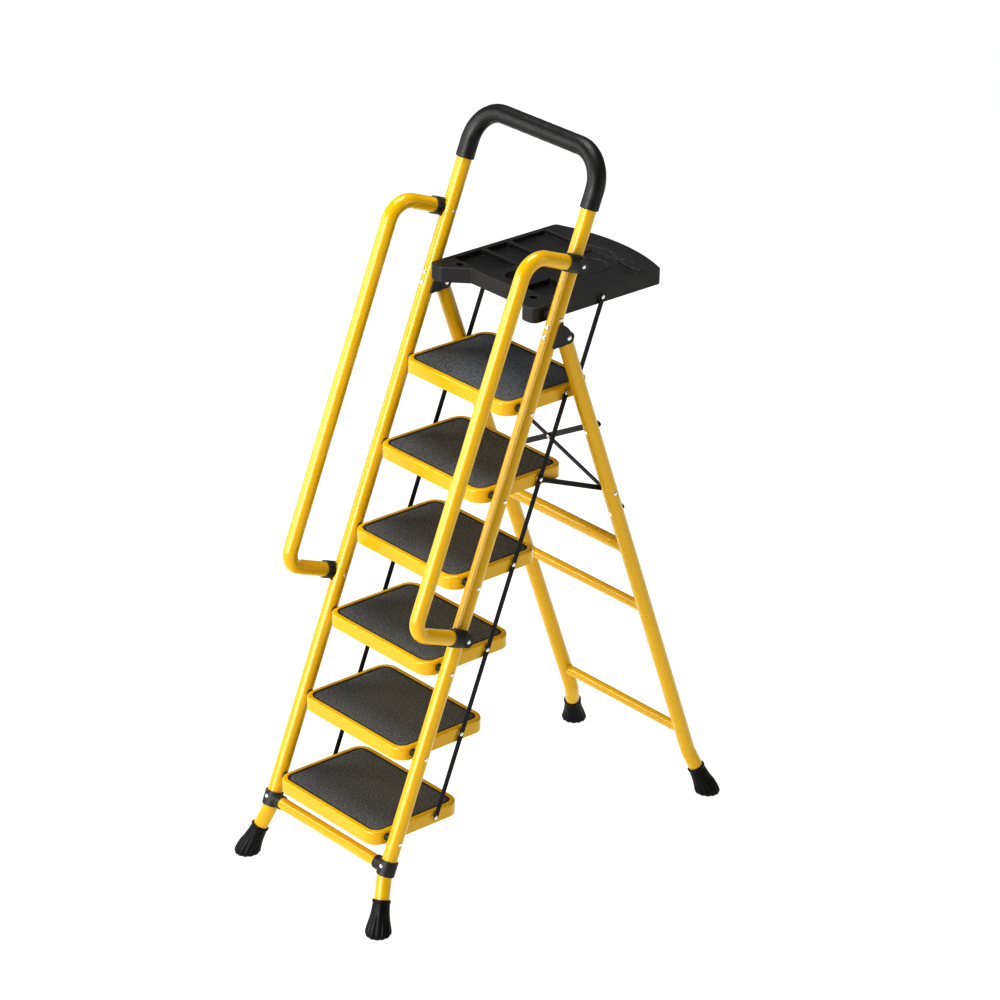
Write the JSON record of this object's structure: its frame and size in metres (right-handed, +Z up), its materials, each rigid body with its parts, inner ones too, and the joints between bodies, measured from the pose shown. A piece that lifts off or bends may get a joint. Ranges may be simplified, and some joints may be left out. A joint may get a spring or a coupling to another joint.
{
  "type": "folding platform step ladder",
  "caption": "Folding yellow step ladder with matted treads, a tool tray, side handrails, a foam-gripped top handle and a braced rear frame on rubber feet.",
  "frame": {"origin": "on the ground, midway between the front and rear feet and between the stiles", "axes": "+X to the right of a climber who faces the treads, +Y away from the climber, towards the rear frame, +Z up"},
  "size_m": [0.575, 1.1709, 1.8537],
  "materials": {
    "yellow_paint": "glossy powder coat",
    "black_plastic": "satin moulded",
    "black_foam": "closed-cell foam",
    "mat_rubber": "fine grained, matt",
    "foot_rubber": "satin rubber",
    "zinc": "zinc plated",
    "black_steel": "black powder coat"
  },
  "bodies": {
    "front_frame": {"front_frame_tube": "yellow_paint", "handle_grip": "black_foam", "front_crossbar": "yellow_paint", "crossbar_bracket_left": "black_plastic", "crossbar_bracket_right": "black_plastic", "handrail_left": "yellow_paint", "handrail_right": "yellow_paint", "handrail_bracket_upper_left": "black_plastic", "handrail_bracket_upper_right": "black_plastic", "handrail_bracket_lower_left": "black_plastic", "handrail_bracket_lower_right": "black_plastic", "front_foot_left": "foot_rubber", "front_foot_right": "foot_rubber", "rear_pivot_bracket_left": "black_plastic", "rear_pivot_bracket_right": "black_plastic", "rear_pivot_pins": "zinc", "bracket_bolts": "zinc", "hinge_pins": "zinc", "hinge_spacers": "black_plastic"},
    "rear_frame": {"rear_leg_left": "yellow_paint", "rear_leg_right": "yellow_paint", "rear_crossbar_upper": "yellow_paint", "rear_crossbar_middle": "yellow_paint", "rear_crossbar_lower": "yellow_paint", "rear_foot_left": "foot_rubber", "rear_foot_right": "foot_rubber", "cross_brace_a": "black_steel", "cross_brace_b": "black_steel", "cross_brace_rivets": "zinc", "strut_pins": "zinc"},
    "step_1": {"step_pan_1": "yellow_paint", "step_mat_1": "mat_rubber"},
    "step_2": {"step_pan_2": "yellow_paint", "step_mat_2": "mat_rubber"},
    "step_3": {"step_pan_3": "yellow_paint", "step_mat_3": "mat_rubber"},
    "step_4": {"step_pan_4": "yellow_paint", "step_mat_4": "mat_rubber"},
    "step_5": {"step_pan_5": "yellow_paint", "step_mat_5": "mat_rubber"},
    "step_6": {"step_pan_6": "yellow_paint", "step_mat_6": "mat_rubber"},
    "tray": {"tool_tray": "black_plastic"},
    "lower_rod_left": {"link_rod_lower_left": "black_steel", "link_rivets_lower_left": "zinc"},
    "upper_rod_left": {"link_rod_upper_left": "black_steel", "link_rivets_upper_left": "zinc"},
    "strut_left": {"fold_strut_left": "black_steel"},
    "lower_rod_right": {"link_rod_lower_right": "black_steel", "link_rivets_lower_right": "zinc"},
    "upper_rod_right": {"link_rod_upper_right": "black_steel", "link_rivets_upper_right": "zinc"},
    "strut_right": {"fold_strut_right": "black_steel"}
  },
  "joints": [
    {"name": "rear_frame_fold", "type": "hinge", "parent": "front_frame", "child": "rear_frame", "pos_m": [0, 0.02977, 1.406], "axis": [-1, 0, 0], "range_deg": [0, 37]},
    {"name": "step_1_fold", "type": "hinge", "parent": "front_frame", "child": "step_1", "pos_m": [0, -0.47412, 0.2133], "axis": [1, 0, 0], "range_deg": [0, 58.35]},
    {"name": "step_2_fold", "type": "hinge", "parent": "front_frame", "child": "step_2", "pos_m": [0, -0.39543, 0.4183], "axis": [1, 0, 0], "range_deg": [0, 58.35]},
    {"name": "step_3_fold", "type": "hinge", "parent": "front_frame", "child": "step_3", "pos_m": [0, -0.31674, 0.6233], "axis": [1, 0, 0], "range_deg": [0, 58.35]},
    {"name": "step_4_fold", "type": "hinge", "parent": "front_frame", "child": "step_4", "pos_m": [0, -0.23805, 0.8283], "axis": [1, 0, 0], "range_deg": [0, 58.35]},
    {"name": "step_5_fold", "type": "hinge", "parent": "front_frame", "child": "step_5", "pos_m": [0, -0.15935, 1.0333], "axis": [1, 0, 0], "range_deg": [0, 58.35]},
    {"name": "step_6_fold", "type": "hinge", "parent": "front_frame", "child": "step_6", "pos_m": [0, -0.08066, 1.2383], "axis": [1, 0, 0], "range_deg": [0, 58.35]},
    {"name": "tray_fold", "type": "hinge", "parent": "front_frame", "child": "tray", "pos_m": [0, 0.00341, 1.4573], "axis": [1, 0, 0], "range_deg": [0, 58.35]},
    {"name": "lower_rod_left_pivot", "type": "hinge", "parent": "step_1", "child": "lower_rod_left", "pos_m": [-0.1955, -0.32312, 0.2133], "axis": [-1, 0, 0], "range_deg": [0, 58.35]},
    {"name": "upper_rod_left_pivot", "type": "hinge", "parent": "step_6", "child": "upper_rod_left", "pos_m": [-0.1955, 0.09534, 1.2383], "axis": [-1, 0, 0], "range_deg": [0, 58.35]},
    {"name": "strut_left_pivot", "type": "hinge", "parent": "step_5", "child": "strut_left", "pos_m": [-0.1991, -0.00835, 1.0333], "axis": [-1, 0, 0], "range_deg": [0, 133.7]},
    {"name": "lower_rod_right_pivot", "type": "hinge", "parent": "step_1", "child": "lower_rod_right", "pos_m": [0.1955, -0.32312, 0.2133], "axis": [-1, 0, 0], "range_deg": [0, 58.35]},
    {"name": "upper_rod_right_pivot", "type": "hinge", "parent": "step_6", "child": "upper_rod_right", "pos_m": [0.1955, 0.09534, 1.2383], "axis": [-1, 0, 0], "range_deg": [0, 58.35]},
    {"name": "strut_right_pivot", "type": "hinge", "parent": "step_5", "child": "strut_right", "pos_m": [0.1991, -0.00835, 1.0333], "axis": [-1, 0, 0], "range_deg": [0, 133.7]}
  ],
  "couplings": [
    {"joint": "step_1_fold", "follows": "rear_frame_fold", "ratio": 1.5758},
    {"joint": "step_2_fold", "follows": "rear_frame_fold", "ratio": 1.5758},
    {"joint": "step_3_fold", "follows": "rear_frame_fold", "ratio": 1.5758},
    {"joint": "step_4_fold", "follows": "rear_frame_fold", "ratio": 1.5758},
    {"joint": "step_5_fold", "follows": "rear_frame_fold", "ratio": 1.5758},
    {"joint": "step_6_fold", "follows": "rear_frame_fold", "ratio": 1.5758},
    {"joint": "tray_fold", "follows": "rear_frame_fold", "ratio": 1.5758},
    {"joint": "lower_rod_left_pivot", "follows": "rear_frame_fold", "ratio": 1.5758},
    {"joint": "upper_rod_left_pivot", "follows": "rear_frame_fold", "ratio": 1.5758},
    {"joint": "strut_left_pivot", "follows": "rear_frame_fold", "ratio": 3.6122},
    {"joint": "lower_rod_right_pivot", "follows": "rear_frame_fold", "ratio": 1.5758},
    {"joint": "upper_rod_right_pivot", "follows": "rear_frame_fold", "ratio": 1.5758},
    {"joint": "strut_right_pivot", "follows": "rear_frame_fold", "ratio": 3.6122}
  ]
}
